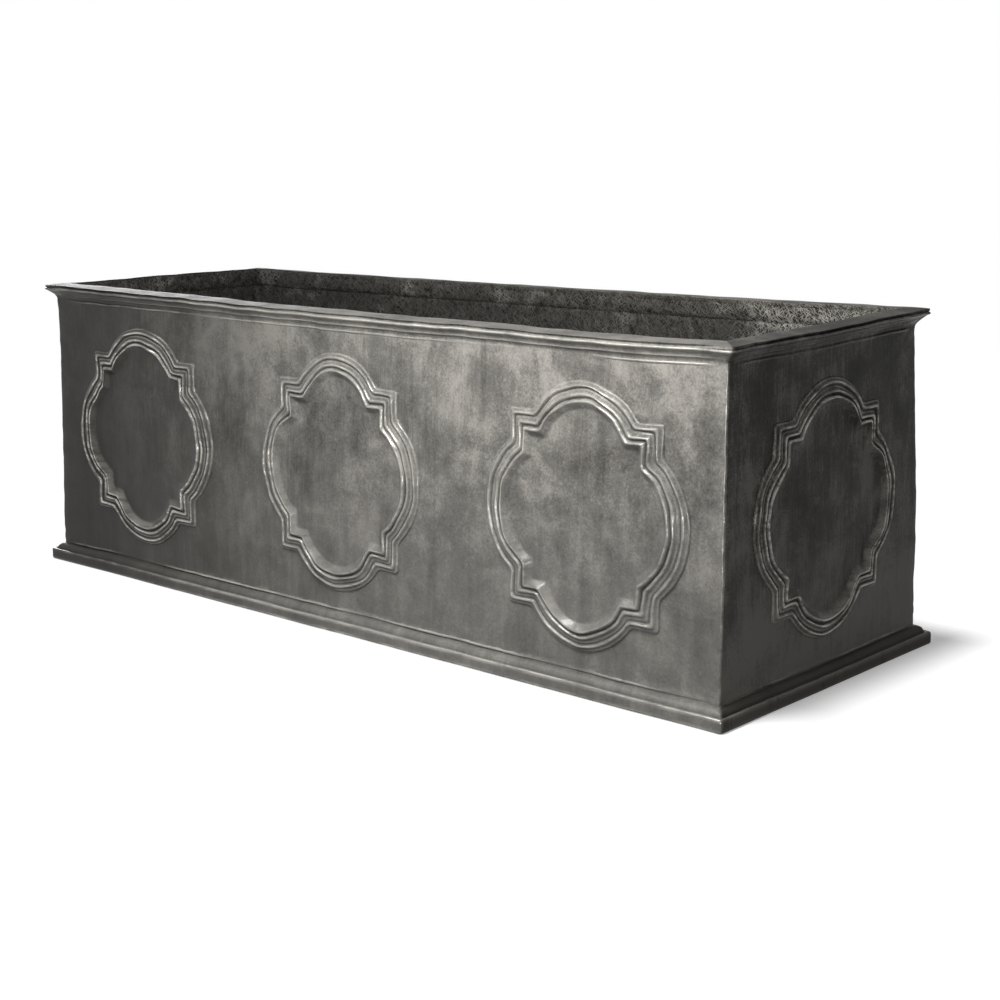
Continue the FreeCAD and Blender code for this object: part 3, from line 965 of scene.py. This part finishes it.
def sawn_softwood():
    """Sawn pine: pale warm brown, with rings and fine grain along its length and a dull, fuzzy face."""
    material, add, place = new_material("sawn_softwood")
    along = add("Mapping", {"Vector": place, "Scale": (1, 0.06, 1)})
    ring = add("TexWave", {
        "Vector": along, "Scale": 0.3 / (timber_ring * mm), "Distortion": 4.0, "Detail": 2.0},
        bands_direction="X").outputs["Fac"]
    grain = add("TexNoise", {"Vector": along, "Scale": 1 / (timber_grain * mm), "Detail": 3.0})
    figure = add("Mix", {"Factor": 0.45, "A": ring, "B": grain})
    colour = add("ValToRGB", {"Fac": figure}, stops=timber_tones)
    bump = add("Bump", {"Height": grain, "Strength": 0.5, "Distance": 0.5 * mm})
    shader = add("BsdfPrincipled", {"Base Color": colour, "Roughness": 0.8, "Normal": bump})
    add("OutputMaterial", {"Surface": shader})
    return material


def bearer(node):
    """A rounded bar in the box of its node: its section carried along Y, with a face at each end."""
    low, high = (np.array(corner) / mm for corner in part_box(node))
    middle = (low + high) / 2
    half = (high - low) / 2
    eased = half - timber_rounding
    quarter = bend((eased[0], half[2]), (half[0], half[2]), (half[0], eased[2]), round_pull, 4)
    section = np.vstack([quarter, quarter[::-1] * (1, -1), -quarter, quarter[::-1] * (-1, 1)])
    x = middle[0] + section[:, 0]
    y = line(low[1], high[1], 24)[:, None]
    z = middle[2] + section[:, 1]
    return bar(np.stack(np.broadcast_arrays(x, y, z), axis=-1))


timber_finish = sawn_softwood()
for number in (1, 2, 3):
    bearer_name = f"floor_bearer_{number}"
    bearer(bearer_name).piece(bearer_name, [timber_finish], "timber")

# The floor panel
# A sheet of the same laminate, cut to the inside of the walls and laid on the bearers.
# A drain hole is bored through each of its quarters.
floor_low, floor_high = (corner.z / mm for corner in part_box("floor_panel"))
floor_fit = 0.3
hole_side = 16
hole_rings = 26
hole_ring_growth = 1.5
floor_lumps = 0.7


def floor_quarter(skin, hole):
    """A quarter of the floor, from its drain hole: on each face, rings that open from the hole to the
    quarter's four edges, and between the faces the hole's wall and the sheet's cut edge."""
    hole_x, hole_y = (abs(value) / mm for value in hole["pos_m"][:2])
    quarter_sign = np.sign(hole["pos_m"][:2] + [1])
    turn = np.linspace(0, 2 * math.pi, 4 * hole_side, endpoint=False) - math.pi / 4
    circle = np.column_stack([np.cos(turn), np.sin(turn)])
    square = circle / np.abs(circle).max(axis=1, keepdims=True)
    spread = np.linspace(0, 1, hole_rings + 1)[:, None, None] ** hole_ring_growth
    faces = []
    for z in (floor_high, floor_low):
        half = np.array([wall_reach_x, wall_reach_y + lean(z)]) / 2 - (wall_thickness + floor_fit) / 2
        edge = half * (1 + square)
        flat = (1 - spread) * ((hole_x, hole_y) + hole["dims"]["r_mm"] * circle) + spread * edge
        faces.append(quarter_sign * np.dstack([flat, np.full(flat.shape[:2], z)]))
    top, bottom = faces
    skin.grid(top, raw=floor_lumps, closed=True)
    skin.grid(bottom, closed=True)
    skin.grid(np.stack([top[0], bottom[0]]), closed=True)
    cut_edge = slice(0, 2 * hole_side + 1)
    skin.grid(np.stack([top[-1, cut_edge], bottom[-1, cut_edge]]))


floor_skin = Skin()
for mount in frame["record"]["mounts"]:
    if mount["kind"] == "bore":
        floor_quarter(floor_skin, mount)
floor_skin.piece("floor_panel", [inside_finish_with_painted_shade], "laminate")

# The floor bonds
# Along the foot of each panel an angle of glass mat laps the wall and the floor and seals the joint.
# It is laid wet in one strip to a side and mitred at the corners.
for side in turn_of_side:
    section = bond_section()
    strip = np.column_stack([inside - section[:, 0], floor_high + section[:, 1]])
    lumps = smooth(0, raw_rise, section.min(axis=1))
    carried(side, strip, lumps).piece("floor_bond_" + side, [inside_finish_with_painted_shade], "laminate")

# The studio
# A white table fades into a white surround. Its own light, from high on the left, casts the shadow.
# A softbox hangs close in front and a small one high on the left. Two more stand low, beside the camera and
# in front of the trough, for the lines on the mouldings, and one behind. A weak broad light is above.
floor_radius = 2.6
floor_fade = 0.9
floor_glow = 0.34
floor_corners = 96
surround_light = 0.06


def shown(add):
    """1 on a ray that shows a thing to the eye, straight, mirrored or through glass, and 0 on others."""
    path = add("LightPath", {}).outputs
    ray = path["Is Camera Ray"]
    for kind in ("Is Glossy Ray", "Is Transmission Ray"):
        ray = add("Math", {0: ray, 1: path[kind]}, operation="MAXIMUM")
    return ray


def white_surround():
    """World: white to the eye and in reflections, and dim as a source of light on the object."""
    world = bpy.data.worlds.new("white_surround")
    world.use_nodes = True
    world.node_tree.nodes.clear()
    add = functools.partial(add_node, world.node_tree)
    strength = add("MapRange", {"Value": shown(add), "To Min": surround_light})
    glow = add("Background", {"Color": srgb("#ffffff"), "Strength": strength})
    add("OutputWorld", {"Surface": glow})
    bpy.context.scene.world = world


def white_floor():
    """A disc on the ground: white and faintly glowing to the eye, greyer to light that bounces off it, and
    faded out at its edge."""
    material, add, place = new_material("white_floor")
    seen = shown(add)
    colour = add("Mix", {"Factor": seen, "A": srgb("#616161"), "B": srgb("#f9f9f9")}, data_type="RGBA")
    matt = add("BsdfDiffuse", {"Color": colour})
    glow = add("MapRange", {"Value": seen, "To Max": floor_glow})
    lit = add("Emission", {"Strength": glow})
    table = add("AddShader", {0: matt, 1: lit})
    clear = add("BsdfTransparent", {})
    radius = add("VectorMath", {0: place}, operation="LENGTH").outputs["Value"]
    fade = add("MapRange", {"Value": radius, "From Min": floor_fade, "From Max": floor_radius})
    both = add("MixShader", {0: fade, 1: table, 2: clear})
    add("OutputMaterial", {"Surface": both})
    turn = np.linspace(0, 2 * math.pi, floor_corners, endpoint=False)
    ring = floor_radius * np.column_stack([np.cos(turn), np.sin(turn), 0 * turn])
    mesh = bpy.data.meshes.new("floor")
    mesh.from_pydata(ring, [], [list(range(len(ring)))])
    mesh.materials.append(material)
    sheet = bpy.data.objects.new("floor", mesh)
    bpy.context.scene.collection.objects.link(sheet)
    return sheet


def aim(thing, place, target, roll=0.0):
    """Put a lamp or camera at a place, pointing at a target and rolled about its own axis."""
    look = Vector(target) - Vector(place)
    turn = look.to_track_quat("-Z", "Y").to_matrix().to_4x4()
    thing.matrix_world = Matrix.Translation(place) @ turn @ Matrix.Rotation(roll, 4, "Z")
    bpy.context.scene.collection.objects.link(thing)


def lit_things(name, thing, state):
    """A set of things for a lamp: it lights this one alone, or all but this one."""
    group = bpy.data.collections.new(name)
    group.objects.link(thing)
    group.collection_objects[0].light_linking.link_state = state
    return group


def lamp(name, kind, place, target, lights, **settings):
    """A lamp with its settings. It lights a set of things and shows in reflections, not to the camera."""
    light = bpy.data.lights.new(name, kind)
    for label, value in settings.items():
        setattr(light, label, value)
    thing = bpy.data.objects.new(name, light)
    thing.visible_camera = False
    thing.light_linking.receiver_collection = lights
    aim(thing, place, target)


white_surround()
table = white_floor()
table_alone = lit_things("table_alone", table, "INCLUDE")
all_but_table = lit_things("all_but_table", table, "EXCLUDE")
table_middle = (0, 0, 0)
distant_lamps = {
    # strength, angle in degrees, place and what it lights
    "table_light": (2.3, 10, (-0.18, -0.42, 2.0), table_alone),
    "high_light": (0.8, 40, (-0.5, -0.1, 2.2), all_but_table),
}
softboxes = {
    # width and height in metres, watts, place and target
    "front_softbox": (0.60, 0.22, 6.75, (0.30, -0.51, 0.64), (0.22, -0.17, 0.20)),
    "low_softbox": (0.30, 0.26, 6.2, (1.16, -1.28, 0.16), (0.1, 0.0, 0.18)),
    "high_softbox": (0.30, 0.22, 1.8, (-0.60, -0.55, 1.10), (0.1, -0.18, 0.1)),
    "moulding_softbox": (0.22, 0.14, 1.4, (0.25, -1.25, 0.10), (-0.3, -0.19, 0.18)),
    "back_softbox": (0.7, 0.4, 14.0, (-1.5, 0.55, 0.52), (-0.3, 0.0, 0.35)),
}
for name, (strength, degrees, place, lights) in distant_lamps.items():
    lamp(name, "SUN", place, table_middle, lights, energy=strength, angle=math.radians(degrees))
for name, (wide, tall, watts, place, target) in softboxes.items():
    lamp(name, "AREA", place, target, all_but_table, shape="RECTANGLE", size=wide, size_y=tall,
         energy=watts)

# The camera
# It stands in front of the right-hand corner, a little above the rim, and looks down on the trough.
camera_place = (1.4429, -1.4673, 0.5552)
camera_target = (0.0311, 0.0609, 0.1103)
camera_roll = math.radians(-0.87)
camera = bpy.data.cameras.new("camera")
camera.lens = 64.694
camera.sensor_width = 36.0
camera_object = bpy.data.objects.new("camera", camera)
aim(camera_object, camera_place, camera_target, camera_roll)
bpy.context.scene.camera = camera_object
bpy.context.scene.view_settings.view_transform = "Standard"
